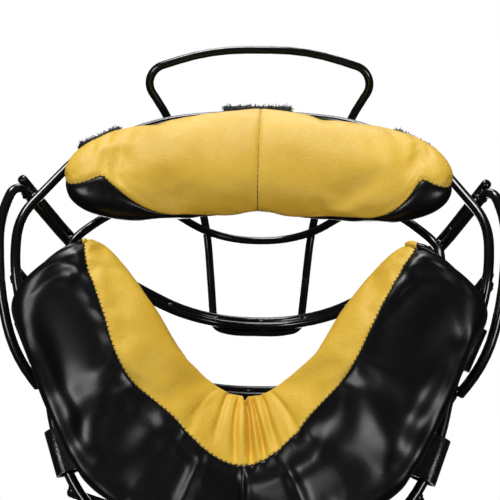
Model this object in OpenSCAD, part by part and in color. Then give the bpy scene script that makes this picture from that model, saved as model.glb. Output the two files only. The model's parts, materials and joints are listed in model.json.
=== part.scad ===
// Catchers mask: a welded wire cage with a forehead pad and a chin pad strapped into it.
// Millimetres, worn upright: +Z is up, the wearer looks along -Y, and +X is the wearer's left.
// The origin is the middle of the face opening, level with the ears, in the plane of the face ring.

/* [Cage] */
// Diameter of the cage wire
wire_d = 4.8; // [4.6:0.1:5]
// Share of each stretch between two corners that its bends take up
bend_share = 0.92; // [0.88:0.01:0.94]
// How far a welded wire is pressed into the wire that it crosses
weld_bite = 0.3; // [0.2:0.1:0.4]
// Height of the lower brow bar, the top of the eye opening
brow_z = 32; // [31:0.5:33]
// Height of the upper bar below the eyes, the bottom of the eye opening
under_eye_z = -6.5; // [-7:0.5:-6]
// How far the brow bars stand out in front of the face ring
brow_reach = 115; // [114:0.5:116]

/* [Forehead pad] */
// Half of the pad's width
forehead_half_w = 94; // [90:1:96]
// Half of the pad's height at its middle
forehead_half_h = 34.5; // [32:0.5:36]
// Depth of the pad on the wearer's side of its middle line
forehead_face_depth = 18; // [15:0.5:20]
// Depth of the pad on the cage side of its middle line
forehead_back_depth = 11.5; // [9:0.5:12]
// How far the pad's ends hang below its middle
forehead_drop = 26; // [22:1:28]
// How far the pad's ends curve back round the forehead
forehead_wrap = 14; // [10:1:16]

/* [Pad covers] */
// Thickness of the leather covers
cover_t = 1.5; // [1:0.1:2]
// Gap between the forehead pad's covers and the foam inside them
cover_gap = 0.3; // [0.2:0.1:0.5]
// Gap between the chin pad's covers and the foam inside them
chin_cover_gap = 0.9; // [0.8:0.1:1.2]

/* [Straps] */
// Width of the middle forehead strap
wide_strap_w = 38; // [34:1:40]
// Width of the forehead straps at its sides
strap_w = 25; // [22:1:26]
// Width of the chin straps
chin_strap_w = 21; // [19:1:22]
// Thickness of the strap
strap_t = 1.6; // [1.2:0.1:1.8]
// Length of the middle forehead strap's tongue behind the pad
forehead_tongue = 36; // [30:1:38]
// Length of a side forehead strap's tongue behind the pad
side_tongue = 26; // [22:1:27]
// Length of a chin strap's tongue behind the pad
chin_tongue = 34; // [30:1:36]
// Length of a strap's flap
flap_len = 30; // [28:1:32]
// Diameter of a snap's cap
snap_d = 14; // [12:0.5:15]

/* [Hidden] */
$fn = 48;

// Distance between the middles of two wires that are welded side by side
weld_step = wire_d - weld_bite;
// The stacked bars lean back a little as they rise
stack_lean = 1.2;
stack_rise = sqrt(weld_step*weld_step - stack_lean*stack_lean);

// Corners of the wires, for the wearer's left half, before bending
crown_half = [[14, -brow_reach - 4.2, brow_z - 1.8], [26, -brow_reach - 3.5, brow_z + 1], [28, -115.5, 52],
  [33.5, -93, 101], [54, -34, 127], [70, -10, 138], [28, -3, 150.5]];
forehead_half = [[25, -101.8, 87], [64, -62, 86], [83, -31, 44], [97, -31.5, 29],
  [94, -20, -2], [92, -29, -26], [91, -37.4, -53.8]];
brow_lower_half = [[33, -brow_reach, brow_z], [90, -60, brow_z - 1.5], [112.6, 5.3, brow_z - 2]];
// The ear guard starts at the end of the lower brow bar, pressed into it
ear_guard_way = [[112.5, 5, brow_z - 2], [115.8, 14.5, brow_z - 2], [121, 10, 8], [118, -5, -22],
  [109.5, -20, -48], [97.7, -29.5, -59.5]];
brow_upper_half = [[33, -brow_reach - stack_lean, brow_z + stack_rise],
  [90, -60, brow_z - 1.5 + weld_step], [114.5, 11, brow_z - 2 + weld_step]];
ring_half = [[20, -14, 107.5], [50, -12.5, 101.5], [73, -9, 86.5], [92, -3, 66], [114, 5, 14],
  [112, -1, -12], [107, -14, -31], [94, -29, -56], [89, -35, -76], [79, -42, -100], [46, -50, -136]];
under_eye_upper_half = [[40, -124, under_eye_z], [96, -66, under_eye_z - 2.5],
  [112.5, -5.5, under_eye_z - 3.5]];
under_eye_lower_half = [[40, -123, under_eye_z - weld_step], [96, -66, under_eye_z - 2.5 - weld_step],
  [112.5, -7.2, under_eye_z - 3.5 - weld_step]];
mouth_half = [[40, -120, -52], [90, -72, -56], [95, -33.6, -58]];
chin_bar_half = [[34, -98, -98], [72, -66, -100], [78, -46, -104]];
lower_loop_half = [[14, -128.3, under_eye_z + 1.5], [25, -126, under_eye_z - 1.5], [29, -123, -24],
  [30, -121.7, -60], [28, -103, -100], [24, -66, -130], [12, -54.4, -136]];

// Sides round a wire, and the most that it turns between two of its rings
wire_sides = 10;
bend_step = 12;
// An end of an open wire leaves nearly its whole stretch to the one bend beside it
end_share = 1.9;

// Rings along each pad, and points round each ring
pad_rings = 16;
ring_points = 20;
ring_step = 360/ring_points;

// The chin pad's stations from the tip of its left arm to its middle:
// [inner edge, outer edge, depth towards the wearer, depth towards the cage]
chin_stations = [
  [[72, 11, -5], [100, 8, -26], 8, 7],
  [[66.5, 6, -6], [106, 4, -32], 14, 10],
  [[57.5, 2, -14], [107, 0, -40], 17, 10],
  [[42, -5, -32], [96, -3, -58], 18, 15],
  [[28, -11, -52], [81, -9, -89], 16, 17],
  [[14, -19, -63], [59, -18, -117], 13, 17],
  [[0, -23, -65], [0, -26, -134], 8, 16]];
rings_per_station = 2;

// Clearance inside a strap where it goes round its wire, and at its fold
wrap_r = wire_d/2 + 1;
fold_gap = 0.3;
flap_tilt = 12.5;
fold_z = -wrap_r - strap_t/2;
snap_place = 23;
snap_h = 2;
stud_d = 7;

function unit(v) = v / norm(v);
function mirrored(v) = [-v.x, v.y, v.z];
function both(half) = concat([for (i = [len(half) - 1 : -1 : 0]) mirrored(half[i])], half);
function across(z) = unit(cross(abs(z.z) < 0.9 ? [0, 0, 1] : [1, 0, 0], z));

// Places its children by their own x and z axes and origin
module framed(x, z, origin) {
  y = cross(z, x);
  multmatrix([[x.x, y.x, z.x, origin.x], [x.y, y.y, z.y, origin.y], [x.z, y.z, z.z, origin.z], [0, 0, 0, 1]])
    children();
}

// Where a wire runs at the share f of one of its bends: [place, direction]
function bend_place(corner, before, after, reach, f) =
  let (turn = acos(before*after), r = reach/tan(turn/2), inward = cross(unit(cross(before, after)), before),
       a = turn*f)
  [corner - before*reach + inward*r*(1 - cos(a)) + before*r*sin(a), before*cos(a) + inward*sin(a)];

// The places of a wire's rings: straight lengths between corners, joined by round bends
function wire_places(p, closed) =
  let (n = len(p), spans = closed ? n : n - 1,
       v = [for (i = [0 : spans - 1]) p[(i + 1) % n] - p[i]],
       u = [for (s = v) unit(s)],
       first = closed ? 0 : 1, last = closed ? n - 1 : n - 2,
       reach = [for (i = [0 : n - 1]) i < first || i > last ? 0
         : bend_share/2 * min(norm(v[(i + n - 1) % n]) * (!closed && i == 1 ? end_share : 1),
                              norm(v[i]) * (!closed && i == n - 2 ? end_share : 1))])
  concat(closed ? [] : [[p[0], u[0]]],
    [for (i = [first : last])
      let (before = u[(i + n - 1) % n], steps = max(2, ceil(acos(before*u[i])/bend_step)))
      for (k = [0 : steps]) bend_place(p[i], before, u[i], reach[i], k/steps)],
    closed ? [] : [[p[n - 1], u[spans - 1]]]);

// The sideways direction at each ring, carried along the wire without twisting
function carried(places, i, side) = i == len(places) ? []
  : let (way = places[i][1], s = unit(side - (side*way)*way)) concat([s], carried(places, i + 1, s));

// A wire bent at its corners, as one solid
module bent_wire(p, closed = false) {
  places = wire_places(p, closed);
  sides = carried(places, 0, across(places[0][1]));
  // The corners of the wire's polygon lie just outside its circle, so that their areas match
  corner_r = wire_d/2 * sqrt(2*PI/wire_sides / sin(360/wire_sides));
  loft([for (i = [0 : len(places) - 1])
    [for (j = [0 : wire_sides - 1])
      let (a = 360*j/wire_sides, s = sides[i])
      places[i][0] + corner_r*(s*cos(a) + cross(places[i][1], s)*sin(a))]], closed);
}

// The closed solid through rings of points, each ring in one plane. Its ends are closed by strips
// between the first and second halves of their rings
module loft(rings, closed = false) {
  m = len(rings[0]);
  n = len(rings);
  strip = [for (j = [0 : m/2 - 2]) each [[j, m - 2 - j, j + 1], [j, m - 1 - j, m - 2 - j]]];
  polyhedron(
    points = [for (ring = rings) each ring],
    faces = concat(
      [for (i = [0 : closed ? n - 1 : n - 2]) for (j = [0 : m - 1])
        let (a = i*m, b = ((i + 1) % n)*m, k = (j + 1) % m)
        each [[a + j, b + j, b + k], [a + j, b + k, a + k]]],
      closed ? [] : [for (t = strip) each [[t[0], t[2], t[1]], [for (c = t) (n - 1)*m + c]]]));
}

// A ring of points round a middle: half widths u and v, and depth w on the far side of u.
// inset draws it smaller by that much
function ring_at(c, u, v, w, inset, from, to, steps) = [for (j = [0 : steps])
  let (a = from + (to - from)*j/steps, k = 1 - inset/norm(u), depth = sin(a) > 0 ? v : w)
  c + u*k*cos(a) + unit(depth)*(norm(depth) - inset)*sin(a)*(sin(a) > 0 ? 1 : -1)];
function whole_ring(s, inset, from) =
  ring_at(s[0], s[1], s[2], s[3], inset, from, from + 360 - ring_step, ring_points - 1);
// A shell's ring runs along its outside and back along its inside, with points where the foam has them
function shell_ring(s, from, to) = let (steps = (to - from)/ring_step) concat(
  ring_at(s[0], s[1], s[2], s[3], 0, from, to, steps),
  ring_at(s[0], s[1], s[2], s[3], cover_t, to, from, steps));

// Forehead pad at a share s of its half width: [middle, half height, depth to the wearer, and to the cage]
function forehead_station(s) =
  let (x = forehead_half_w*s, a = abs(s), k = sqrt(1 - a*a*a))
  [[x, 3 + forehead_wrap*a*a, 56.5 - forehead_drop*pow(a, 1.25)],
   [0, 0, -forehead_half_h*k], [0, forehead_face_depth*pow(k, 0.7), 0],
   [0, -forehead_back_depth*pow(k, 0.7), 0]];
// The ends are cut just short of a point
forehead_end = 0.985;
forehead_stations = [for (i = [-pad_rings/2 : pad_rings/2])
  forehead_station(forehead_end*sin(90*i/(pad_rings/2)))];

// Chin pad stations, smoothed between the hand-set ones and mirrored to the right arm
chin_all = concat(chin_stations, [for (i = [len(chin_stations) - 2 : -1 : 0])
  let (s = chin_stations[i]) [mirrored(s[0]), mirrored(s[1]), s[2], s[3]]]);
function through(a, b, c, d, t) =
  0.5*((2*b) + (c - a)*t + (2*a - 5*b + 4*c - d)*t*t + (3*b - a - 3*c + d)*t*t*t);
function chin_value(i, t, k) = let (n = len(chin_all) - 1)
  through(chin_all[max(i - 1, 0)][k], chin_all[i][k],
          chin_all[min(i + 1, n)][k], chin_all[min(i + 2, n)][k], t);
function chin_station(q) =
  let (i = min(floor(q), len(chin_all) - 2), t = q - i,
       inner = chin_value(i, t, 0), outer = chin_value(i, t, 1))
  [(inner + outer)/2, (outer - inner)/2, [0, chin_value(i, t, 2), 0], [0, -chin_value(i, t, 3), 0]];
chin_pad_stations = [for (j = [0 : (len(chin_all) - 1)*rings_per_station]) chin_station(j/rings_per_station)];
// Angles round the chin pad where its inner cover starts and ends
seam_front = 95;
seam_back = seam_front + 7*ring_step;

// A strap's own frame: x along its wire, y along its tongue, z towards the pad
function ring_middle(i) = (both(ring_half)[len(ring_half) + i] + both(ring_half)[len(ring_half) + i - 1])/2;
function ring_way(i) = unit(both(ring_half)[len(ring_half) + i] - both(ring_half)[len(ring_half) + i - 1]);
module on_ring(i) {
  way = ring_way(i);
  shift = i == chin_upper ? -chin_upper_lift : 0;
  framed(way, unit([0, 1, 0] - way.y*way), ring_middle(i) + shift*way) children();
}
module side_profile(w) { translate([-w/2, 0, 0]) rotate([90, 0, 90]) linear_extrude(w) children(); }

// The fixed half of a strap: it comes from behind the pad and goes round the wire
module strap_base(w, tongue, round_end) {
  side_profile(w) difference() {
    circle(r = wrap_r + strap_t);
    circle(r = wrap_r);
    square(2*wrap_r + strap_t);
    translate([-strap_t/2 - fold_gap, -3*wrap_r]) square([4*wrap_r, 3*wrap_r]);
  }
  translate([0, 0, wrap_r]) linear_extrude(strap_t) tab(w, tongue, round_end);
}
module tab(w, length, round_end) {
  straight_len = round_end ? length - w/2 : length;
  translate([-w/2, 0]) square([w, straight_len]);
  if (round_end) translate([0, straight_len]) circle(d = w, $fn = 72);
}
module flap_frame() { translate([0, 0, fold_z]) rotate([flap_tilt, 0, 0]) children(); }
// The half that opens: a tab with a rounded fold along its root
module strap_flap(w, round_end) {
  flap_frame() {
    translate([0, 0, -strap_t/2]) linear_extrude(strap_t) tab(w, flap_len, round_end);
    translate([-w/2, 0, 0]) rotate([0, 90, 0]) cylinder(d = strap_t, h = w);
  }
}
module snap_cap() {
  flap_frame() translate([0, snap_place, -strap_t/2 - snap_h])
    rotate_extrude()
      polygon([[0, 0], [snap_d*0.3, 0], [snap_d*0.44, snap_h*0.3], [snap_d/2, snap_h], [0, snap_h]]);
}
module snap_stud() {
  stud_h = 0.8;
  translate([0, snap_place*cos(flap_tilt), wrap_r - stud_h]) cylinder(d = stud_d, h = stud_h);
}
module right_side() { mirror([1, 0, 0]) children(); }

// Places of the straps: each number is a corner of the ring, and the strap sits just before it
top_middle = 0;
top_side = 3;
chin_upper = 7;
chin_lower = 9;
// How far the upper chin straps sit above the middle of their stretch, clear of the ear guards
chin_upper_lift = 4;

module crown_loop() { color("#141414") bent_wire(both(crown_half), closed = true); }
module forehead_bar() { color("#141414") bent_wire(both(forehead_half)); }
module brow_bar_upper() { color("#141414") bent_wire(both(brow_upper_half)); }
module brow_bar_lower() { color("#141414") bent_wire(both(brow_lower_half)); }
module left_ear_guard() { color("#141414") bent_wire(ear_guard_way); }
module right_ear_guard() { right_side() left_ear_guard(); }
module face_ring() { color("#141414") bent_wire(both(ring_half), closed = true); }
module under_eye_bar_upper() { color("#141414") bent_wire(both(under_eye_upper_half)); }
module under_eye_bar_lower() { color("#141414") bent_wire(both(under_eye_lower_half)); }
module mouth_bar() { color("#141414") bent_wire(both(mouth_half)); }
module chin_bar() { color("#141414") bent_wire(both(chin_bar_half)); }
module lower_loop() { color("#141414") bent_wire(both(lower_loop_half), closed = true); }

module forehead_foam() {
  color("#cfcfc4") loft([for (s = forehead_stations) whole_ring(s, cover_t + cover_gap, 0)]);
}
module forehead_front_cover() { color("#e0bb44") loft([for (s = forehead_stations) shell_ring(s, 0, 180)]); }
module forehead_back_cover() { color("#1c1c1e") loft([for (s = forehead_stations) shell_ring(s, 180, 360)]); }
module chin_foam() {
  color("#cfcfc4") loft([for (s = chin_pad_stations) whole_ring(s, cover_t + chin_cover_gap, seam_front)]);
}
module chin_inner_cover() {
  color("#e0bb44") loft([for (s = chin_pad_stations) shell_ring(s, seam_front, seam_back)]);
}
module chin_outer_cover() {
  color("#1c1c1e") loft([for (s = chin_pad_stations) shell_ring(s, seam_back, seam_front + 360)]);
}

module forehead_strap_middle() {
  color("#1a1a1a") on_ring(top_middle) strap_base(wide_strap_w, forehead_tongue, false);
}
module forehead_flap_middle() { color("#1a1a1a") on_ring(top_middle) strap_flap(wide_strap_w, false); }
module forehead_strap_left() { color("#1a1a1a") on_ring(top_side) strap_base(strap_w, side_tongue, false); }
module forehead_flap_left() { color("#1a1a1a") on_ring(top_side) strap_flap(strap_w, false); }
module forehead_strap_right() { right_side() forehead_strap_left(); }
module forehead_flap_right() { right_side() forehead_flap_left(); }
module chin_strap_upper_left() {
  color("#242426") on_ring(chin_upper) strap_base(chin_strap_w, chin_tongue, true);
}
module chin_flap_upper_left() { color("#242426") on_ring(chin_upper) strap_flap(chin_strap_w, true); }
module chin_snap_upper_left() { color("#303030") on_ring(chin_upper) snap_cap(); }
module chin_strap_upper_right() { right_side() chin_strap_upper_left(); }
module chin_flap_upper_right() { right_side() chin_flap_upper_left(); }
module chin_snap_upper_right() { right_side() chin_snap_upper_left(); }
module chin_strap_lower_left() {
  color("#242426") on_ring(chin_lower) strap_base(chin_strap_w, chin_tongue, true);
}
module chin_flap_lower_left() { color("#242426") on_ring(chin_lower) strap_flap(chin_strap_w, true); }
module chin_snap_lower_left() { color("#303030") on_ring(chin_lower) snap_cap(); }
module chin_strap_lower_right() { right_side() chin_strap_lower_left(); }
module chin_flap_lower_right() { right_side() chin_flap_lower_left(); }
module chin_snap_lower_right() { right_side() chin_snap_lower_left(); }
module snap_studs() {
  color("#b0b0b0") for (i = [chin_upper, chin_lower]) {
    on_ring(i) snap_stud();
    right_side() on_ring(i) snap_stud();
  }
}

crown_loop();
forehead_bar();
brow_bar_upper();
brow_bar_lower();
face_ring();
left_ear_guard();
right_ear_guard();
under_eye_bar_upper();
under_eye_bar_lower();
mouth_bar();
chin_bar();
lower_loop();
forehead_foam();
forehead_front_cover();
forehead_back_cover();
chin_foam();
chin_inner_cover();
chin_outer_cover();
forehead_strap_middle();
forehead_flap_middle();
forehead_strap_left();
forehead_flap_left();
forehead_strap_right();
forehead_flap_right();
chin_strap_upper_left();
chin_flap_upper_left();
chin_snap_upper_left();
chin_strap_upper_right();
chin_flap_upper_right();
chin_snap_upper_right();
chin_strap_lower_left();
chin_flap_lower_left();
chin_snap_lower_left();
chin_strap_lower_right();
chin_flap_lower_right();
chin_snap_lower_right();
snap_studs();
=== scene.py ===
"""The looks of a catchers mask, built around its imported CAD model. Metres, +Z up as worn."""
import json
import math
import random

import bmesh
import bpy
from mathutils import Matrix, Vector, kdtree, noise


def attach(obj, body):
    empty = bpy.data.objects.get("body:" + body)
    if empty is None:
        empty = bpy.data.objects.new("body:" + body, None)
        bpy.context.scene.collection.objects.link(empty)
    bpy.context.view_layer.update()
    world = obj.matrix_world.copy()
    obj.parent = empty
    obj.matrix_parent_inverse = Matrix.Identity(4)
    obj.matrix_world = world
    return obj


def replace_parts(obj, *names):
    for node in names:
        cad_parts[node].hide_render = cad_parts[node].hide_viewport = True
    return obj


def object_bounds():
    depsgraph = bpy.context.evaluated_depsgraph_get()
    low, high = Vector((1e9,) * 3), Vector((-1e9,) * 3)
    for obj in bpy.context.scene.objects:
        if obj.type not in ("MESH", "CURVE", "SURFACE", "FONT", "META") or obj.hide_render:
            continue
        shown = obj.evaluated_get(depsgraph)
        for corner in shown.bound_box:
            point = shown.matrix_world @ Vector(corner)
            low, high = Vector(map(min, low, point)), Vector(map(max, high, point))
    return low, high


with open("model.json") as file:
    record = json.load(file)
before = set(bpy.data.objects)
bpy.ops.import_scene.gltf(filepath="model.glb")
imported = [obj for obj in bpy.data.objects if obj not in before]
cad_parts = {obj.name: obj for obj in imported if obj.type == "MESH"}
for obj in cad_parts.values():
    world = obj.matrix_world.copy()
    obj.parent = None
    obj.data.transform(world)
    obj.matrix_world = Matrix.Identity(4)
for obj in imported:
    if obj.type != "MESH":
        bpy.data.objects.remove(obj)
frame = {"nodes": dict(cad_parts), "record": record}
cad_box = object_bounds()
scene = bpy.context.scene
scene.view_settings.view_transform = "Standard"
MM = 0.001

# ---------------------------------------------------------------- camera, light and floor
# Lengths in metres, angles in degrees, and the lens and its sensor in millimetres
AIM = Vector((0, 0, 0))
CAMERA_DISTANCE, CAMERA_NEAR = 0.434, 0.01
CAMERA_AZIMUTH, CAMERA_ELEVATION, CAMERA_ROLL = 183, -38, 2.6
CAMERA_LENS, CAMERA_SENSOR = 65.3, 36

# Name, place, size and watts
LIGHTS = [
    ("key", (0.22, 0.88, 0.95), 0.5, 13.5),
    ("left", (0.52, 0.9, -0.42), 0.32, 4),
    ("right", (-0.66, 0.82, -0.48), 0.32, 3.6),
    ("top", (0, 0.1, 1.3), 0.6, 6),
    ("front", (0.2, -1.3, 0.5), 0.8, 9),
]
BACKDROP_SEEN, BACKDROP_LIT = 1.0, 0.05
FLOOR_SIZE, FLOOR_DROP = 8, 0.6


def make_camera():
    """The camera stands on the wearer's side and looks up at the mask."""
    camera = bpy.data.objects.new("camera", bpy.data.cameras.new("camera"))
    scene.collection.objects.link(camera)
    azimuth, elevation = math.radians(CAMERA_AZIMUTH), math.radians(CAMERA_ELEVATION)
    back = Vector((math.sin(azimuth)*math.cos(elevation), -math.cos(azimuth)*math.cos(elevation),
                   math.sin(elevation)))
    camera.location = AIM + back*CAMERA_DISTANCE
    roll = Matrix.Rotation(math.radians(CAMERA_ROLL), 3, "Z")
    camera.rotation_euler = ((-back).to_track_quat("-Z", "Y").to_matrix() @ roll).to_euler()
    camera.data.lens, camera.data.sensor_width = CAMERA_LENS, CAMERA_SENSOR
    camera.data.clip_start = CAMERA_NEAR
    scene.camera = camera


def area_light(name, place, size, watts):
    """A square soft light, aimed at the mask and never seen itself."""
    data = bpy.data.lights.new(name, "AREA")
    data.size, data.energy = size, watts
    light = bpy.data.objects.new(name, data)
    light.location = place
    light.visible_camera = False
    light.rotation_euler = (AIM - Vector(place)).to_track_quat("-Z", "Y").to_euler()
    scene.collection.objects.link(light)


def make_world():
    """A white backdrop, which lights the mask much less than it shows."""
    world = bpy.data.worlds.new("studio")
    world.use_nodes = True
    scene.world = world
    nodes, links = world.node_tree.nodes, world.node_tree.links
    nodes.clear()
    seen, lit = nodes.new("ShaderNodeBackground"), nodes.new("ShaderNodeBackground")
    mix = nodes.new("ShaderNodeMixShader")
    for backdrop, strength in ((seen, BACKDROP_SEEN), (lit, BACKDROP_LIT)):
        backdrop.inputs["Color"].default_value = (1, 1, 1, 1)
        backdrop.inputs["Strength"].default_value = strength
    links.new(nodes.new("ShaderNodeLightPath").outputs["Is Camera Ray"], mix.inputs["Fac"])
    links.new(lit.outputs[0], mix.inputs[1])
    links.new(seen.outputs[0], mix.inputs[2])
    links.new(mix.outputs[0], nodes.new("ShaderNodeOutputWorld").inputs["Surface"])


# ---------------------------------------------------------------- materials
def material(name, color, roughness, **sockets):
    """A new material and its shader, with constants set on the shader's own sockets."""
    made = bpy.data.materials.new(name)
    made.use_nodes = True
    shader = made.node_tree.nodes["Principled BSDF"]
    shader.inputs["Base Color"].default_value = (*color, 1)
    shader.inputs["Roughness"].default_value = roughness
    for socket, value in sockets.items():
        shader.inputs[socket.replace("_", " ")].default_value = value
    made.diffuse_color = (*color, 1)
    return made


def texture(made, kind, scale, **values):
    """A texture node of that kind on the object's own coordinates, in cells per metre."""
    nodes, links = made.node_tree.nodes, made.node_tree.links
    place = nodes.get("place") or nodes.new("ShaderNodeTexCoord")
    place.name = "place"
    node = nodes.new(kind)
    node.inputs["Scale"].default_value = scale
    for socket, value in values.items():
        node.inputs[socket].default_value = value
    links.new(place.outputs["Object"], node.inputs["Vector"])
    return node


def vary(made, fac, socket, low, high, start=0.3, stop=0.7):
    """Lets a texture's value carry a socket of the shader from low to high."""
    nodes, links = made.node_tree.nodes, made.node_tree.links
    ramp = nodes.new("ShaderNodeValToRGB")
    for element, place, value in zip(ramp.color_ramp.elements, (start, stop), (low, high)):
        element.position = place
        element.color = (*value, 1) if isinstance(value, tuple) else (value, value, value, 1)
    links.new(fac, ramp.inputs["Fac"])
    links.new(ramp.outputs["Color"], nodes["Principled BSDF"].inputs[socket])


def bump(made, *layers):
    """Bump from (height socket, depth in metres) layers, the last one on top."""
    nodes, links = made.node_tree.nodes, made.node_tree.links
    below = None
    for height, depth in layers:
        node = nodes.new("ShaderNodeBump")
        node.inputs["Distance"].default_value = depth
        links.new(height, node.inputs["Height"])
        if below:
            links.new(below, node.inputs["Normal"])
        below = node.outputs["Normal"]
    links.new(below, nodes["Principled BSDF"].inputs["Normal"])


def leather(name, dark, light, smooth, dull, grain_depth, **sockets):
    """Dyed leather: a fine pebbled grain, soft creases, and cloudy colour and shine."""
    made = material(name, light, smooth, **sockets)
    cloud = texture(made, "ShaderNodeTexNoise", 28, Detail=5, Roughness=0.6)
    crease = texture(made, "ShaderNodeTexNoise", 190, Detail=7, Roughness=0.62, Distortion=1.2)
    pebble = texture(made, "ShaderNodeTexVoronoi", 1250)
    pore = texture(made, "ShaderNodeTexNoise", 2600, Detail=3)
    vary(made, cloud.outputs["Fac"], "Base Color", dark, light)
    vary(made, crease.outputs["Fac"], "Roughness", smooth, dull)
    bump(made, (crease.outputs["Fac"], grain_depth*1.3), (pebble.outputs["Distance"], grain_depth),
         (pore.outputs["Fac"], grain_depth*0.5))
    return made


def make_materials():
    """One material for each material slot of the record."""
    made = {
        "yellow_leather": leather("yellow_leather", (0.71, 0.43, 0.036), (0.84, 0.545, 0.066), 0.4, 0.56,
                                  0.00011, Specular_IOR_Level=0.3),
        "black_leather": leather("black_leather", (0.0015, 0.0015, 0.002), (0.0035, 0.0035, 0.0045),
                                 0.27, 0.31, 0.000009, Specular_IOR_Level=0.3),
        "strap_leather": leather("strap_leather", (0.0025, 0.0025, 0.003), (0.006, 0.006, 0.007), 0.2, 0.34,
                                 0.00005, Specular_IOR_Level=0.5),
    }
    wire = material("cage_wire", (0.003, 0.003, 0.0035), 0.18, Specular_IOR_Level=0.45, Coat_Weight=0.25,
                    Coat_Roughness=0.12)
    peel = texture(wire, "ShaderNodeTexNoise", 420, Detail=2)
    smudge = texture(wire, "ShaderNodeTexNoise", 60, Detail=5)
    vary(wire, smudge.outputs["Fac"], "Base Color", (0.002, 0.002, 0.0024), (0.005, 0.005, 0.0056))
    vary(wire, smudge.outputs["Fac"], "Roughness", 0.15, 0.24)
    bump(wire, (peel.outputs["Fac"], 0.000015))
    made["cage_wire"] = wire

    pile = material("loop_pile", (0.006, 0.006, 0.0065), 0.95, Sheen_Weight=0.25, Specular_IOR_Level=0.15)
    tuft = texture(pile, "ShaderNodeTexNoise", 1400, Detail=3)
    vary(pile, tuft.outputs["Fac"], "Base Color", (0.002, 0.002, 0.0025), (0.016, 0.015, 0.017))
    bump(pile, (tuft.outputs["Fac"], 0.0006))
    made["loop_pile"] = pile

    foam = material("foam", (0.62, 0.62, 0.58), 0.95)
    cell = texture(foam, "ShaderNodeTexVoronoi", 900)
    # Darker at the middle of each cell, where the bump below sinks it into a pore: painted shade in the
    # pores.
    vary(foam, cell.outputs["Distance"], "Base Color", (0.42, 0.42, 0.38), (0.66, 0.66, 0.61), 0.0, 0.6)
    bump(foam, (cell.outputs["Distance"], 0.0005))
    made["foam"] = foam

    cap = material("snap_cap", (0.01, 0.01, 0.011), 0.18, Coat_Weight=0.6, Coat_Roughness=0.06)
    rub = texture(cap, "ShaderNodeTexNoise", 500, Detail=6)
    vary(cap, rub.outputs["Fac"], "Roughness", 0.12, 0.34)
    vary(cap, rub.outputs["Fac"], "Base Color", (0.007, 0.007, 0.008), (0.022, 0.022, 0.024))
    bump(cap, (rub.outputs["Fac"], 0.00004))
    made["snap_cap"] = cap

    stud = material("snap_stud", (0.62, 0.61, 0.58), 0.25, Metallic=1.0)
    scratch = texture(stud, "ShaderNodeTexNoise", 1800, Detail=6)
    vary(stud, scratch.outputs["Fac"], "Roughness", 0.16, 0.42)
    vary(stud, scratch.outputs["Fac"], "Base Color", (0.5, 0.49, 0.46), (0.68, 0.67, 0.65))
    made["snap_stud"] = stud

    thread = material("stitching", (0.008, 0.008, 0.009), 0.6, Sheen_Weight=0.2)
    twist = texture(thread, "ShaderNodeTexNoise", 3200, Detail=2)
    vary(thread, twist.outputs["Fac"], "Base Color", (0.003, 0.003, 0.0035), (0.02, 0.019, 0.018))
    bump(thread, (twist.outputs["Fac"], 0.0001))
    made["stitching"] = thread
    return made


def make_floor():
    """A wide pale floor, below both the mask and the camera, that evens out the lights' pools on it
    with a glow of its own, and stays out of the mask's reflections."""
    bpy.ops.mesh.primitive_grid_add(x_subdivisions=8, y_subdivisions=8, size=FLOOR_SIZE)
    floor = bpy.context.object
    floor.name = "floor"
    floor.location.z = cad_box[0].z - FLOOR_DROP
    paper = material("floor_paper", (0.03, 0.03, 0.03), 0.9, Specular_IOR_Level=0.1,
                     Emission_Color=(0.76, 0.76, 0.75, 1), Emission_Strength=1.0)
    fleck = texture(paper, "ShaderNodeTexNoise", 300, Detail=4)
    vary(paper, fleck.outputs["Fac"], "Base Color", (0.025, 0.025, 0.025), (0.035, 0.035, 0.035))
    floor.data.materials.append(paper)
    floor.visible_diffuse = floor.visible_glossy = False


# ---------------------------------------------------------------- mesh helpers
def new_piece(name, verts, faces, slot, body, smooth=True):
    """A mesh object with that slot's material, riding on a body."""
    mesh = bpy.data.meshes.new(name)
    mesh.from_pydata([tuple(v) for v in verts], [], faces)
    mesh.validate()
    piece = bpy.data.objects.new(name, mesh)
    scene.collection.objects.link(piece)
    mesh.materials.append(MATERIALS[slot])
    mesh.polygons.foreach_set("use_smooth", [smooth]*len(mesh.polygons))
    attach(piece, body)
    return piece


def join_parts(parts):
    """One list of verts and one of faces from several (verts, faces) pairs."""
    verts, faces = [], []
    for some_verts, some_faces in parts:
        start = len(verts)
        verts += some_verts
        faces += [tuple(start + i for i in face) for face in some_faces]
    return verts, faces


def smoothstep(low, high, value):
    """0 below low, 1 above high, and a smooth rise between."""
    t = min(max((value - low)/(high - low), 0), 1)
    return t*t*(3 - 2*t)


# ---------------------------------------------------------------- wires
WIRE_R = 2.4*MM
WIRE_SIDES = 24
# How much of the room beside a corner its bend takes, and how much more room there is by an open end
BEND_SHARE, END_SHARE = 0.92, 1.9
BEND_STEP = math.radians(5)
# Angles of the rings that dome a tube's open end, and how far the dome stands out in radii
DOME_ANGLES, DOME_LENGTH = (30, 60, 80), 0.5

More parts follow.
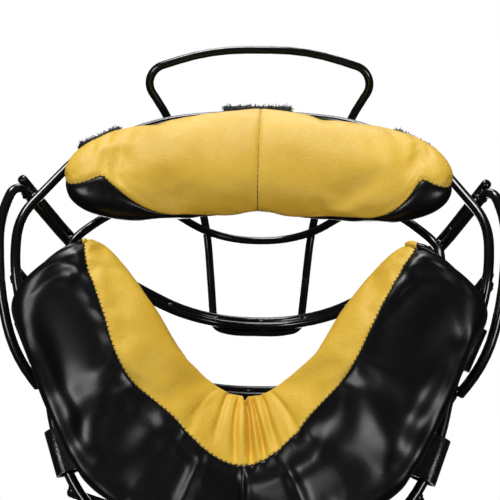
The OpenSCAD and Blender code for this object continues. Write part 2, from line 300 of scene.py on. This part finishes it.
# Corners of each wire in millimetres, as in the CAD model: "half" wires are mirrored to the right
WIRES = {
    "crown_loop": ("half loop", [(14, -119.2, 30.2), (26, -118.5, 33), (28, -115.5, 52), (33.5, -93, 101),
                                 (54, -34, 127), (70, -10, 138), (28, -3, 150.5)]),
    "forehead_bar": ("half", [(25, -101.8, 87), (64, -62, 86), (83, -31, 44), (97, -31.5, 29),
                              (94, -20, -2), (92, -29, -26), (91, -37.4, -53.8)]),
    "brow_bar_lower": ("half", [(33, -115, 32), (90, -60, 30.5), (112.6, 5.3, 30)]),
    "brow_bar_upper": ("half", [(33, -116.2, 36.34), (90, -60, 35), (114.5, 11, 34.5)]),
    "face_ring": ("half loop", [(20, -14, 107.5), (50, -12.5, 101.5), (73, -9, 86.5), (92, -3, 66),
                                (114, 5, 14), (112, -1, -12), (107, -14, -31), (94, -29, -56),
                                (89, -35, -76), (79, -42, -100), (46, -50, -136)]),
    "left_ear_guard": ("whole", [(112.5, 5, 30), (115.8, 14.5, 30), (121, 10, 8), (118, -5, -22),
                                 (109.5, -20, -48), (97.7, -29.5, -59.5)]),
    "right_ear_guard": ("mirror", [(112.5, 5, 30), (115.8, 14.5, 30), (121, 10, 8), (118, -5, -22),
                                   (109.5, -20, -48), (97.7, -29.5, -59.5)]),
    "under_eye_bar_upper": ("half", [(40, -124, -6.5), (96, -66, -9), (112.5, -5.5, -10)]),
    "under_eye_bar_lower": ("half", [(40, -123, -11), (96, -66, -13.5), (112.5, -7.2, -14.5)]),
    "mouth_bar": ("half", [(40, -120, -52), (90, -72, -56), (95, -33.6, -58)]),
    "chin_bar": ("half", [(34, -98, -98), (72, -66, -100), (78, -46, -104)]),
    "lower_loop": ("half loop", [(14, -128.3, -5), (25, -126, -8), (29, -123, -24), (30, -121.7, -60),
                                 (28, -103, -100), (24, -66, -130), (12, -54.4, -136)]),
}


def corners_of(kind, points):
    """All corners of a wire in metres, left end last."""
    left = [Vector(p)*MM for p in points]
    right = [Vector((-p.x, p.y, p.z)) for p in left]
    if kind == "whole":
        return left
    return right if kind == "mirror" else right[::-1] + left


def wire_path(corners, closed):
    """Points along a wire: straight lengths joined by round bends."""
    n = len(corners)
    runs = [corners[(i + 1) % n] - corners[i] for i in range(n if closed else n - 1)]
    points = [] if closed else [corners[0]]
    for i in range(0 if closed else 1, n if closed else n - 1):
        before, after = runs[i - 1], runs[i % len(runs)]
        room = min(before.length*(END_SHARE if not closed and i == 1 else 1),
                   after.length*(END_SHARE if not closed and i == n - 2 else 1))
        turn = before.angle(after)
        ahead = before.normalized()
        inward = before.cross(after).normalized().cross(ahead)
        reach = BEND_SHARE/2*room
        radius = reach/math.tan(turn/2)
        steps = max(3, math.ceil(turn/BEND_STEP))
        for k in range(steps + 1):
            a = turn*k/steps
            points.append(corners[i] - ahead*reach + inward*radius*(1 - math.cos(a))
                          + ahead*radius*math.sin(a))
    return points if closed else points + [corners[-1]]


def tube(points, radius, closed=False, sides=WIRE_SIDES):
    """Verts and faces of a round tube along points, with domed ends when it is open."""
    n = len(points)
    rings = []
    side = None
    for i, point in enumerate(points):
        ahead = points[(i + 1) % n] if closed or i < n - 1 else point
        behind = points[i - 1] if closed or i else point
        way = (ahead - behind).normalized()
        if side is None:
            side = way.orthogonal()
        side = (side - way*side.dot(way)).normalized()
        rings.append((point, way, side.copy(), radius))
    if not closed:
        dome = [(math.sin(math.radians(a)), math.cos(math.radians(a))) for a in DOME_ANGLES]
        first, last = rings[0], rings[-1]
        head = [(first[0] - first[1]*radius*up*DOME_LENGTH, first[1], first[2], radius*across)
                for up, across in dome]
        tail = [(last[0] + last[1]*radius*up*DOME_LENGTH, last[1], last[2], radius*across)
                for up, across in dome]
        rings = head[::-1] + rings + tail
    verts = []
    for point, way, edge, r in rings:
        other = way.cross(edge)
        for j in range(sides):
            a = 2*math.pi*j/sides
            verts.append(point + (edge*math.cos(a) + other*math.sin(a))*r)
    count = len(rings)
    faces = []
    for i in range(count if closed else count - 1):
        a, b = i*sides, (i + 1) % count*sides
        faces += [(a + j, a + (j + 1) % sides, b + (j + 1) % sides, b + j) for j in range(sides)]
    if not closed:
        faces.append(tuple(range(sides))[::-1])
        faces.append(tuple(range((count - 1)*sides, count*sides)))
    return verts, faces


def resampled(points, step, closed=False):
    """Points at an even step along a path."""
    line = points + [points[0]] if closed else points
    spots, left = [line[0].copy()], step
    for a, b in zip(line, line[1:]):
        length = (b - a).length
        while length > 0 and left <= length:
            spots.append(a + (b - a)*(left/length))
            left += step
        left -= length
    return spots


def make_wires():
    """Each wire as a smooth tube in its CAD node's place. Returns the path of each."""
    paths = {}
    for name, (kind, points) in WIRES.items():
        closed = kind.endswith("loop")
        path = wire_path(corners_of(kind, points), closed)
        verts, faces = tube(path, WIRE_R, closed)
        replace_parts(new_piece(f"{name}_wire", verts, faces, "cage_wire", "cage"), name)
        paths[name] = resampled(path, 1*MM, closed)
    return paths


# Wires this close are welded, with beads at least this far apart
WELD_GAP = 0.25*MM
WELD_SPACING = 26*MM
# Half sizes along the wires, across from one to the other, and sideways, in millimetres
WELD_HALF = (3, 1.8, 2.5)
WELD_LUMP, WELD_LUMP_SCALE, WELD_LUMP_STEP = 0.13, 2.1, 3.7


def weld_bead(place, way, across_way, seed):
    """A small lumpy bead of weld metal between two wires, long along their joint."""
    made = bmesh.new()
    bmesh.ops.create_icosphere(made, subdivisions=3, radius=1)
    side = way.cross(across_way).normalized()
    shift = Vector((seed*WELD_LUMP_STEP, 0, 0))
    long, high, wide = WELD_HALF
    verts = []
    for v in made.verts:
        lump = 1 + WELD_LUMP*noise.noise(v.co*WELD_LUMP_SCALE + shift)
        verts.append(place + (way*v.co.x*long + across_way*v.co.y*high + side*v.co.z*wide)*MM*lump)
    faces = [tuple(v.index for v in face.verts) for face in made.faces]
    made.free()
    return verts, faces


def make_welds(paths):
    """A bead wherever two wires that are pressed together come closest."""
    beads = []
    names = sorted(paths)
    for i, first in enumerate(names):
        tree = kdtree.KDTree(len(paths[first]))
        for k, point in enumerate(paths[first]):
            tree.insert(point, k)
        tree.balance()
        for second in names[i + 1:]:
            near = []
            for k, point in enumerate(paths[second]):
                spot, _, distance = tree.find(point)
                if distance < 2*WIRE_R + WELD_GAP:
                    near.append((distance, k, point, spot))
            placed = []
            for distance, k, point, spot in sorted(near, key=lambda row: (round(row[0]/MM, 1), row[1])):
                middle = (point + spot)/2
                if all((middle - other).length > WELD_SPACING for other in placed):
                    placed.append(middle)
                    line = paths[second]
                    way = (line[min(k + 1, len(line) - 1)] - line[max(k - 1, 0)]).normalized()
                    away = (point - spot).normalized()
                    way = (way - away*way.dot(away)).normalized()
                    beads.append(weld_bead(middle, way, away, len(beads)))
    verts, faces = join_parts(beads)
    new_piece("weld_beads", verts, faces, "cage_wire", "cage")


# ---------------------------------------------------------------- pads
# Forehead pad, as in the CAD model: half width, half height, and depth to the wearer and the cage
BROW_HALF_W, BROW_HALF_H, BROW_FRONT, BROW_BACK = 94*MM, 34.5*MM, 18*MM, 11.5*MM
# Its middle's place, how far the ends come back and drop, and how late they drop
BROW_Y, BROW_Z, BROW_WRAP, BROW_DROP, BROW_BEND = 3*MM, 56.5*MM, 14*MM, 26*MM, 1.25
# How blunt the ends are from the front, how round they close, and how flat the pad stays to its ends
BROW_BLUNT, BROW_CLOSE, BROW_FLAT = 3.4, 0.45, 0.7
# The pad is strapped on a little to the wearer's right
BROW_SHIFT = -3*MM
# Rings along the pad, the last one's share of the half width, and the share where the two that
# flank the sewn middle are
BROW_RINGS, BROW_END, BROW_SEAM_STEP = 76, 0.9985, 0.011
# Each black gusset's upper edge: the shares of the half width where it starts to rise and where it
# peaks, and how late it rises. Then how far round the pad its peak and its outer end are
GUSSET_LEFT, GUSSET_RIGHT = (0.33, 0.79, 1.7), (0.36, 0.825, 3.4)
GUSSET_ANGLE, GUSSET_END_ANGLE = 64, 36
# Between the gussets the seam runs lowest, and by so much lower still under the pad's middle, fading
# out between two shares of the half width
GUSSET_LOW, GUSSET_DIP, GUSSET_DIP_FROM, GUSSET_DIP_TO = 5, 35, 0.1, 0.34
# Angles round each pad: 0 is its lower or outer edge, 90 faces the wearer, 180 its other edge
BROW_TOP_SEAM = 204
# The first and the last ring from each end that have gusset stitches
GUSSET_RINGS = 3, 26

# Chin pad stations from the left tip to the middle, as in the CAD model, in millimetres: inner edge,
# outer edge, and depth to the wearer and to the cage
CHIN_STATIONS = [
    ((72, 11, -5), (100, 8, -26), 8, 7),
    ((66.5, 6, -6), (106, 4, -32), 14, 10),
    ((57.5, 2, -14), (107, 0, -40), 17, 10),
    ((42, -5, -32), (96, -3, -58), 18, 15),
    ((28, -11, -52), (81, -9, -89), 16, 17),
    ((14, -19, -63), (59, -18, -117), 13, 17),
    ((0, -23, -65), (0, -26, -134), 8, 16),
]
CHIN_MIDDLE = len(CHIN_STATIONS) - 1
# Angle of the seam between yellow and black at each station, from the left tip to the right one: the
# yellow strip is cut narrower on the right
CHIN_SEAM = [134, 124, 113, 101, 95, 103, 85, 108, 108, 112, 122, 125, 136]
CHIN_BACK_SEAM = 221
# Each tip is closed in a round by a few rings, the outermost ones held as the pad is puffed up, and
# stays open by a part of a ring's step
CHIN_TIP_ROUND = 3.5*MM
TIP_RINGS, TIP_PINNED, TIP_OPEN = 4, 2, 0.8
# The rings are close together within this many stations of the middle
CHIN_GATHER, CHIN_ARM_RINGS, CHIN_GATHER_RINGS = 0.8, 42, 80


def brow_station(s):
    """Forehead pad at a share s of its half width: middle, half-height, depths, seam angles."""
    k = (1 - abs(s)**BROW_BLUNT)**BROW_CLOSE
    middle = Vector((BROW_HALF_W*s + BROW_SHIFT, BROW_Y + BROW_WRAP*s*s,
                     BROW_Z - BROW_DROP*abs(s)**BROW_BEND))
    start, peak, lateness = GUSSET_LEFT if s > 0 else GUSSET_RIGHT
    rise = max(abs(s) - start, 0)/(peak - start)
    gusset = GUSSET_ANGLE*min(rise, 1)**lateness
    if abs(s) > peak:
        gusset += (GUSSET_END_ANGLE - GUSSET_ANGLE)*(abs(s) - peak)/(1 - peak)
    dip = GUSSET_DIP*(1 - smoothstep(GUSSET_DIP_FROM, GUSSET_DIP_TO, abs(s)))
    return {"at": s, "middle": middle, "half": Vector((0, 0, -BROW_HALF_H*k)),
            "front": Vector((0, BROW_FRONT*k**BROW_FLAT, 0)),
            "back": Vector((0, -BROW_BACK*k**BROW_FLAT, 0)),
            "seams": (max(gusset, GUSSET_LOW) - dip, BROW_TOP_SEAM)}


def catmull(values, q):
    """A smooth value between given ones, at place q along them."""
    last = len(values) - 1
    i = min(int(q), last - 1)
    a, b, c, d = (values[max(min(j, last), 0)] for j in (i - 1, i, i + 1, i + 2))
    t = q - i
    return 0.5*(2*b + (c - a)*t + (2*a - 5*b + 4*c - d)*t*t + (3*b - a - 3*c + d)*t**3)


def chin_station(q):
    """Chin pad at station number q, counted from the left tip to the right one."""
    def mirrored(row):
        return ((-row[0][0], *row[0][1:]), (-row[1][0], *row[1][1:]), *row[2:])
    rows = CHIN_STATIONS + [mirrored(row) for row in CHIN_STATIONS[-2::-1]]
    inner, outer = (catmull([Vector(row[k]) for row in rows], q)*MM for k in (0, 1))
    front, back = (catmull([row[k] for row in rows], q) for k in (2, 3))
    return {"at": q, "middle": (inner + outer)/2, "half": (outer - inner)/2,
            "front": Vector((0, front*MM, 0)), "back": Vector((0, -back*MM, 0)),
            "seams": (catmull(CHIN_SEAM, q), CHIN_BACK_SEAM)}


def ring_place(station, degrees):
    """A point on the pad's outline at one station."""
    a = math.radians(degrees)
    depth = station["front"] if math.sin(a) > 0 else station["back"]
    return station["middle"] + station["half"]*math.cos(a) + depth*abs(math.sin(a))


# How much of the even step gives way to closer steps near the seams
EASE = 0.45


def eased(t):
    """Closer steps near both ends, where the seams are."""
    return (1 - EASE)*t + EASE*(1 - math.cos(math.pi*t))/2


class Pad:
    """A closed grid of rings: columns 0 to front are one cover, the rest are the other."""

    def __init__(self, stations, front, back):
        self.front, self.columns = front, front + back
        self.at, self.angle, self.verts = [], [], []
        for station in stations:
            low, high = station["seams"]
            angles = [low + (high - low)*eased(j/front) for j in range(front)]
            angles += [high + (low + 360 - high)*eased(j/back) for j in range(back)]
            for angle in angles:
                self.verts.append(ring_place(station, angle))
                self.at.append(station["at"])
                self.angle.append(angle)
        self.rings = len(stations)
        for ring in (0, self.rings - 1):
            edge = self.ring(ring)
            self.verts.append(sum((self.verts[i] for i in edge), Vector())/len(edge))
            self.at.append(self.at[edge[0]])
            self.angle.append(0)

    def ring(self, i):
        """Vertex numbers of one ring."""
        return range(i*self.columns, (i + 1)*self.columns)

    def seam(self, column):
        """Vertex numbers along one column, from end to end."""
        return [i*self.columns + column for i in range(self.rings)]

    def faces(self, columns):
        """Faces of some columns, with the ends closed by fans to the two poles."""
        made = []
        n, pole = self.columns, len(self.verts) - 2
        for j in columns:
            k = (j + 1) % n
            made += [(i*n + j, i*n + k, (i + 1)*n + k, (i + 1)*n + j) for i in range(self.rings - 1)]
            made.append((pole, k, j))
            last = (self.rings - 1)*n
            made.append((pole + 1, last + j, last + k))
        return made

    def normals(self):
        """Outward directions at the verts."""
        mesh = bpy.data.meshes.new("normals")
        mesh.from_pydata([tuple(v) for v in self.verts], [], self.faces(range(self.columns)))
        mesh.update()
        found = [v.normal.copy() for v in mesh.vertices]
        bpy.data.meshes.remove(mesh)
        middle = sum(self.verts, Vector())/len(self.verts)
        tip = max(range(len(self.verts)), key=lambda i: (self.verts[i] - middle).length)
        return found if found[tip].dot(self.verts[tip] - middle) > 0 else [-v for v in found]

    def push(self, depth_at):
        """Moves each vert along its normal by depth_at(vert number)."""
        for i, normal in enumerate(self.normals()):
            self.verts[i] = self.verts[i] + normal*depth_at(i)


CLOTH_FRAMES = 20
CLOTH = {"quality": 6, "mass": 0.3, "tension_stiffness": 30, "compression_stiffness": 30,
         "shear_stiffness": 12, "bending_stiffness": 1.5, "use_pressure": True,
         "uniform_pressure_force": 4, "vertex_group_mass": "pins", "shrink_min": -0.012}
# The leather starts this far inside the CAD shape, and swells no further than the cap, or than a
# share of it on the side of the cage, where the straps are
PUFF_INSET, PUFF_CAP, BACK_SHARE = 0.5*MM, 2.6*MM, 0.4


def puff(pad, pinned):
    """Blows the pad up as cloth that is held along its seams."""
    pad.push(lambda i: -PUFF_INSET)
    mesh = bpy.data.meshes.new("puff")
    mesh.from_pydata([tuple(v) for v in pad.verts], [], pad.faces(range(pad.columns)))
    cloth_piece = bpy.data.objects.new("puff", mesh)
    scene.collection.objects.link(cloth_piece)
    cloth_piece.vertex_groups.new(name="pins").add(sorted(pinned), 1.0, "REPLACE")
    cloth = cloth_piece.modifiers.new("cloth", "CLOTH")
    for setting, value in CLOTH.items():
        setattr(cloth.settings, setting, value)
    cloth.settings.effector_weights.gravity = 0
    cloth.point_cache.frame_start, cloth.point_cache.frame_end = 1, CLOTH_FRAMES
    for step in range(1, CLOTH_FRAMES + 1):
        scene.frame_set(step)
    solved = cloth_piece.evaluated_get(bpy.context.evaluated_depsgraph_get()).data
    for i, vert in enumerate(solved.vertices):
        move = vert.co - pad.verts[i]
        limit = PUFF_CAP if math.sin(math.radians(pad.angle[i])) > 0 else PUFF_CAP*BACK_SHARE
        if move.length > limit:
            move *= limit/move.length
        pad.verts[i] = pad.verts[i] + move
    scene.frame_set(1)
    bpy.data.objects.remove(cloth_piece)
    bpy.data.meshes.remove(mesh)


def groove(pad, lines, depth, width):
    """Presses the pad in along lines of its own verts."""
    spots = [pad.verts[i] for line in lines for i in line]
    tree = kdtree.KDTree(len(spots))
    for k, spot in enumerate(spots):
        tree.insert(spot, k)
    tree.balance()
    pad.push(lambda i: -depth*math.exp(-(tree.find(pad.verts[i])[2]/width)**2))


LEATHER = 1.2*MM


def cover(pad, name, columns, slot, body, fill, *nodes):
    """One leather cover of a pad, with its own thickness, in place of some CAD nodes."""
    faces = pad.faces(columns)
    used = sorted({i for face in faces for i in face})
    number = {old: new for new, old in enumerate(used)}
    piece = new_piece(name, [pad.verts[i] for i in used],
                      [tuple(number[i] for i in face) for face in faces], slot, body)
    check = bmesh.new()
    check.from_mesh(piece.data)
    bmesh.ops.recalc_face_normals(check, faces=check.faces)
    top = max(check.verts, key=lambda v: v.co.z)
    normals = pad.normals()
    if top.normal.dot(normals[used[top.index]]) < 0:
        bmesh.ops.reverse_faces(check, faces=check.faces)
    check.to_mesh(piece.data)
    check.free()
    smooth = piece.modifiers.new("smooth", "SUBSURF")
    smooth.levels = smooth.render_levels = 1
    skin = piece.modifiers.new("skin", "SOLIDIFY")
    skin.thickness, skin.offset = LEATHER, -1
    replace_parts(piece, *nodes)


# Spacing of stitches, length, thread radius, degrees turned from the seam, and lift off the leather
MIDDLE_STITCH = (2.6*MM, 2.2*MM, 0.17*MM, 4, 0.35*MM)
GUSSET_STITCH = (2.3*MM, 1.3*MM, 0.21*MM, 55, 0.15*MM)
CHIN_STITCH = (2.3*MM, 1.3*MM, 0.24*MM, 55, 0.15*MM)
BACK_STITCH = (3*MM, 2.2*MM, 0.3*MM, 5, 0.1*MM)
# How many sides a thread has, and how far its ends sink in radii
THREAD_SIDES, THREAD_SINK = 7, 0.8


def stitches(name, pad, line, body, stitch):
    """A row of thread stitches along a line of the pad's verts, whose ends sink into the leather."""
    pitch, length, radius, slant, lift = stitch
    normals = pad.normals()
    line = list(line)
    parts = []
    left = pitch/2
    for a, b in zip(line, line[1:]):
        run = pad.verts[b] - pad.verts[a]
        while run.length > 0 and left <= run.length:
            t = left/run.length
            up = (normals[a]*(1 - t) + normals[b]*t).normalized()
            along = (run - up*run.dot(up)).normalized()
            reach = Matrix.Rotation(math.radians(slant), 3, up) @ along*(length/2)
            middle = pad.verts[a] + run*t + up*lift
            parts.append(tube([middle - reach - up*radius*THREAD_SINK, middle - reach*0.5,
                               middle + reach*0.5, middle + reach - up*radius*THREAD_SINK],
                              radius, sides=THREAD_SIDES))
            left += pitch
        left -= run.length
    verts, faces = join_parts(parts)
    new_piece(name, verts, faces, "stitching", body)


# A fold sways by this share of its width, this many times round the pad, each from its own phase, and
# fades out past this share of its reach
FOLD_SWAY, FOLD_WAVES, FOLD_PHASE, FOLD_FADE = 0.3, 4, 700, 0.6


def fold(at, angle, place, angle_mid, angle_reach, width, slant):
    """How much of a fold that runs round the pad at one place is felt at (at, angle)."""
    sway = FOLD_SWAY*width*math.sin(math.radians(angle*FOLD_WAVES + place*FOLD_PHASE))
    off = at - place - slant*(angle - angle_mid)/90 - sway
    fade = 1 - smoothstep(FOLD_FADE, 1, abs(angle - angle_mid)/angle_reach)
    return math.exp(-(off/width)**2)*fade


# Folds: place along the pad, middle angle and reach in degrees, width, slant, and depth in millimetres
BROW_FOLDS = [
    (-0.72, 95, 60, 0.035, 0.05, 0.8), (0.7, 92, 55, 0.03, -0.04, 0.7),
    (-0.6, 80, 45, 0.025, 0.07, 0.45), (0.6, 110, 45, 0.02, 0.04, 0.5),
    (0.5, 70, 40, 0.015, 0.1, 0.35), (-0.25, 70, 50, 0.02, -0.02, 0.3),
    (0.3, 90, 60, 0.02, 0.03, 0.3), (0.17, 110, 40, 0.012, 0.05, 0.25),
    (0.86, 110, 50, 0.02, -0.02, 0.5), (-0.87, 110, 50, 0.02, 0.02, 0.5),
]
# The gathers in the yellow strip come first, then the tucks in the black panel
CHIN_FOLDS = [
    (6.04, 136, 58, 0.042, -0.13, 5.2), (6.2, 128, 46, 0.034, -0.08, 3.4),
    (5.86, 122, 40, 0.04, -0.14, 2.2), (6.4, 132, 48, 0.045, 0.03, 1.8),
    (5.56, 138, 44, 0.05, -0.2, 1.5), (6.68, 128, 42, 0.055, 0.1, 1.0),
    (5.25, 125, 40, 0.06, -0.2, 0.7),
    (4.15, 60, 60, 0.24, 0.3, 2.4), (7.85, 60, 60, 0.24, -0.3, 2.4),
    (5.0, 50, 60, 0.12, 0.2, 1.5), (7.0, 50, 60, 0.13, -0.2, 1.2),
    (4.6, 12, 40, 0.09, 0.25, 1.2), (7.4, 12, 40, 0.09, -0.25, 1.2),
    (5.55, 45, 45, 0.05, 0.1, 1.2), (6.45, 45, 45, 0.05, -0.1, 1.2),
    (6.0, 30, 60, 0.03, 0.0, 1.5),
    (2.2, 120, 50, 0.12, 0.1, 0.7), (9.8, 120, 50, 0.12, -0.1, 0.7),
]


def wrapped(angle):
    """An angle round the pad that doesn't jump at its lower or outer edge."""
    return angle - 360 if angle > 300 else angle


def wrinkle(pad, folds, swell, lumps, seed):
    """Presses the listed folds into the pad, and makes it swell unevenly by up to so many millimetres,
    with so many lumps a metre."""
    shift = Vector((seed, 0, 0))

    def depth(i):
        at, angle = pad.at[i], wrapped(pad.angle[i])
        pressed = sum(f[5]*fold(at, angle, *f[:5]) for f in folds)
        return (noise.noise(pad.verts[i]*lumps + shift)*swell - pressed)*MM
    pad.push(depth)


# The chin pad's hem: angle and width of its crease and of the roll beside it, in degrees, how deep
# and how high they are, and between which stations from the middle it fades in and out
HEM_ANGLE, HEM_WIDTH, HEM_DEPTH = 33, 7, 1.5*MM
ROLL_ANGLE, ROLL_WIDTH, ROLL_HEIGHT = HEM_ANGLE - 2.4*HEM_WIDTH, 1.4*HEM_WIDTH, 0.8*MM
HEM_IN, HEM_OUT = (0.7, 1.4), (2.6, 3.4)


def hem_height(at, angle):
    """The black panel's front is turned over in a crease along the lower outer edge of each arm."""
    off = abs(at - CHIN_MIDDLE)
    along = smoothstep(*HEM_IN, off)*(1 - smoothstep(*HEM_OUT, off))
    crease = math.exp(-((wrapped(angle) - HEM_ANGLE)/HEM_WIDTH)**2)
    roll = math.exp(-((wrapped(angle) - ROLL_ANGLE)/ROLL_WIDTH)**2)
    return (ROLL_HEIGHT*roll - HEM_DEPTH*crease)*along


def make_forehead_pad():
    """The forehead pad: yellow front, black back and gussets, and a sewn middle."""
    steps = range(-BROW_RINGS//2, BROW_RINGS//2 + 1)
    shares = [BROW_END*math.sin(math.radians(180*i/BROW_RINGS)) for i in steps]
    shares = sorted(shares + [-BROW_SEAM_STEP, BROW_SEAM_STEP])
    half = shares.index(0)
    pad = Pad([brow_station(s) for s in shares], front=30, back=22)
    seams = [pad.seam(0), pad.seam(pad.front)]
    middle = [i for i in pad.ring(half) if 0 <= i - half*pad.columns <= pad.front]
    pinned = {i for line in seams + [middle] for i in line}
    puff(pad, pinned)
    groove(pad, seams, depth=0.6*MM, width=2*MM)
    groove(pad, [middle], depth=0.6*MM, width=0.8*MM)
    wrinkle(pad, BROW_FOLDS, swell=0.6, lumps=38, seed=3)
    body = "forehead_pad"
    cover(pad, "forehead_pad_front", range(pad.front), "yellow_leather", body, 0.85, "forehead_front_cover")
    cover(pad, "forehead_pad_back", range(pad.front, pad.columns), "black_leather", body, 0.85,
          "forehead_back_cover", "forehead_foam")
    stitches("forehead_middle_stitches", pad, middle[1:-1], body, MIDDLE_STITCH)
    first, last = GUSSET_RINGS
    for side, rings in (("right", slice(first, last)), ("left", slice(-last, -first))):
        stitches(f"forehead_gusset_stitches_{side}", pad, seams[0][rings], body, GUSSET_STITCH)


def chin_places():
    """Station numbers of the chin pad's rings, closer together at the gathered middle."""
    arm, gather = CHIN_ARM_RINGS, CHIN_GATHER_RINGS
    low, high, end = CHIN_MIDDLE - CHIN_GATHER, CHIN_MIDDLE + CHIN_GATHER, 2*CHIN_MIDDLE
    return ([low*i/arm for i in range(arm)] + [low + (high - low)*i/gather for i in range(gather)]
            + [high + (end - high)*i/arm for i in range(arm + 1)])


def rounded_tip(station, away):
    """Rings that close the chin pad's tip in a quarter round."""
    made = []
    for step in range(TIP_RINGS):
        a = math.radians(90*(step + 1)/(TIP_RINGS + TIP_OPEN))
        k = math.cos(a)
        made.append({**station, "middle": station["middle"] + away*CHIN_TIP_ROUND*math.sin(a),
                     "half": station["half"]*k, "front": station["front"]*k, "back": station["back"]*k})
    return made


def make_chin_pad():
    """The V-shaped chin pad: a yellow strip round its inside, gathered at the middle, and a black
    panel round its outside."""
    stations = [chin_station(q) for q in chin_places()]
    start = (stations[0]["middle"] - stations[1]["middle"]).normalized()
    end = (stations[-1]["middle"] - stations[-2]["middle"]).normalized()
    stations = rounded_tip(stations[0], start)[::-1] + stations + rounded_tip(stations[-1], end)
    pad = Pad(stations, front=20, back=34)
    seams = [pad.seam(0), pad.seam(pad.front)]
    pinned = {i for line in seams for i in line}
    for ring in (*range(TIP_PINNED), *range(pad.rings - TIP_PINNED, pad.rings)):
        pinned.update(pad.ring(ring))
    pinned.update(range(len(pad.verts) - 2, len(pad.verts)))
    puff(pad, pinned)
    groove(pad, seams, depth=0.7*MM, width=2*MM)
    pad.push(lambda i: hem_height(pad.at[i], pad.angle[i]))
    wrinkle(pad, CHIN_FOLDS, swell=0.8, lumps=9, seed=11)
    body = "chin_pad"
    cover(pad, "chin_pad_inner", range(pad.front), "yellow_leather", body, 0.8, "chin_inner_cover")
    cover(pad, "chin_pad_outer", range(pad.front, pad.columns), "black_leather", body, 0.8,
          "chin_outer_cover", "chin_foam")
    rings = slice(TIP_RINGS, -TIP_RINGS)
    stitches("chin_seam_stitches", pad, seams[0][rings], body, CHIN_STITCH)
    stitches("chin_back_stitches", pad, seams[1][rings], body, BACK_STITCH)


# ---------------------------------------------------------------- straps
# Hooks a square metre, their greatest length, the shortest one's share of it, their radius, how deep
# their feet are set, and how far they lean at the foot and at the tip
PILE_PER_M2, PILE_LENGTH, PILE_SHORT, PILE_R, PILE_SUNK = 600000, 2.2*MM, 0.4, 0.16*MM, 0.1*MM
PILE_LEAN, PILE_HOOK = 0.75, 0.35
# Heights of a hook's knee and tip as shares of its length, and angles of its three feet
KNEE_SHARE, TIP_SHARE, FEET = 0.6, 0.8, (0, 2.1, 4.2)
HOOK_FACES = [(2, 1, 0), (0, 1, 4, 3), (1, 2, 5, 4), (2, 0, 3, 5), (3, 4, 6), (4, 5, 6), (5, 3, 6)]
# Rounding of a strap's edges: width, segments, the least angle in degrees, and how close the verts
# are that are merged first
EDGE_WIDTH, EDGE_SEGMENTS, EDGE_ANGLE, MERGE_WITHIN = 0.4*MM, 3, 40, 0.01*MM


def surface_spots(mesh, per_area, seed):
    """Random (place, normal) pairs spread evenly over a mesh."""
    dice = random.Random(seed)
    mesh.calc_loop_triangles()
    spots = []
    for tri in mesh.loop_triangles:
        a, b, c = (mesh.vertices[i].co for i in tri.vertices)
        wanted = tri.area*per_area
        for _ in range(int(wanted) + (dice.random() < wanted % 1)):
            u, v = dice.random(), dice.random()
            if u + v > 1:
                u, v = 1 - u, 1 - v
            spots.append((a + (b - a)*u + (c - a)*v, tri.normal.copy()))
    return spots, dice


def make_pile(node, body):
    """Short bent hooks of loop pile, standing on a strap's CAD surface."""
    spots, dice = surface_spots(frame["nodes"][node].data, PILE_PER_M2, len(node))
    parts = []
    for place, normal in spots:
        lean = Vector((dice.uniform(-1, 1), dice.uniform(-1, 1), dice.uniform(-1, 1)))
        way = (normal + lean*PILE_LEAN).normalized()
        side = way.orthogonal().normalized()
        other = way.cross(side)
        length = PILE_LENGTH*dice.uniform(PILE_SHORT, 1.0)
        foot = [place + (side*math.cos(a) + other*math.sin(a))*PILE_R - normal*PILE_SUNK for a in FEET]
        knee = [p + way*length*KNEE_SHARE for p in foot]
        tip = place + way*length*TIP_SHARE + lean*length*PILE_HOOK
        parts.append((foot + knee + [tip], HOOK_FACES))
    verts, faces = join_parts(parts)
    new_piece(f"{node}_pile", verts, faces, "loop_pile", body, smooth=False)


def soften_node(node):
    """Rounds a CAD node's edges a little with modifiers."""
    piece = frame["nodes"][node]
    weld = piece.modifiers.new("weld", "WELD")
    weld.merge_threshold = MERGE_WITHIN
    edge = piece.modifiers.new("edge", "BEVEL")
    edge.width, edge.segments, edge.limit_method = EDGE_WIDTH, EDGE_SEGMENTS, "ANGLE"
    edge.angle_limit = math.radians(EDGE_ANGLE)
    edge.use_clamp_overlap = True


def finish_nodes():
    """Gives every CAD node its slot's material, and each strap its edges or pile."""
    for part in frame["record"]["subparts"]:
        node, slot = part["node"], part["material_slot"]
        materials = frame["nodes"][node].data.materials
        materials.clear()
        materials.append(MATERIALS[slot])
        if slot in ("strap_leather", "loop_pile"):
            soften_node(node)
    bodies = frame["record"]["behaviour"]["bodies"]
    for body, nodes in bodies.items():
        for node in nodes:
            if node.startswith(("forehead_strap", "forehead_flap")):
                make_pile(node, body)


make_camera()
make_world()
MATERIALS = make_materials()
make_floor()
for studio_light in LIGHTS:
    area_light(*studio_light)
make_welds(make_wires())
make_forehead_pad()
make_chin_pad()
finish_nodes()
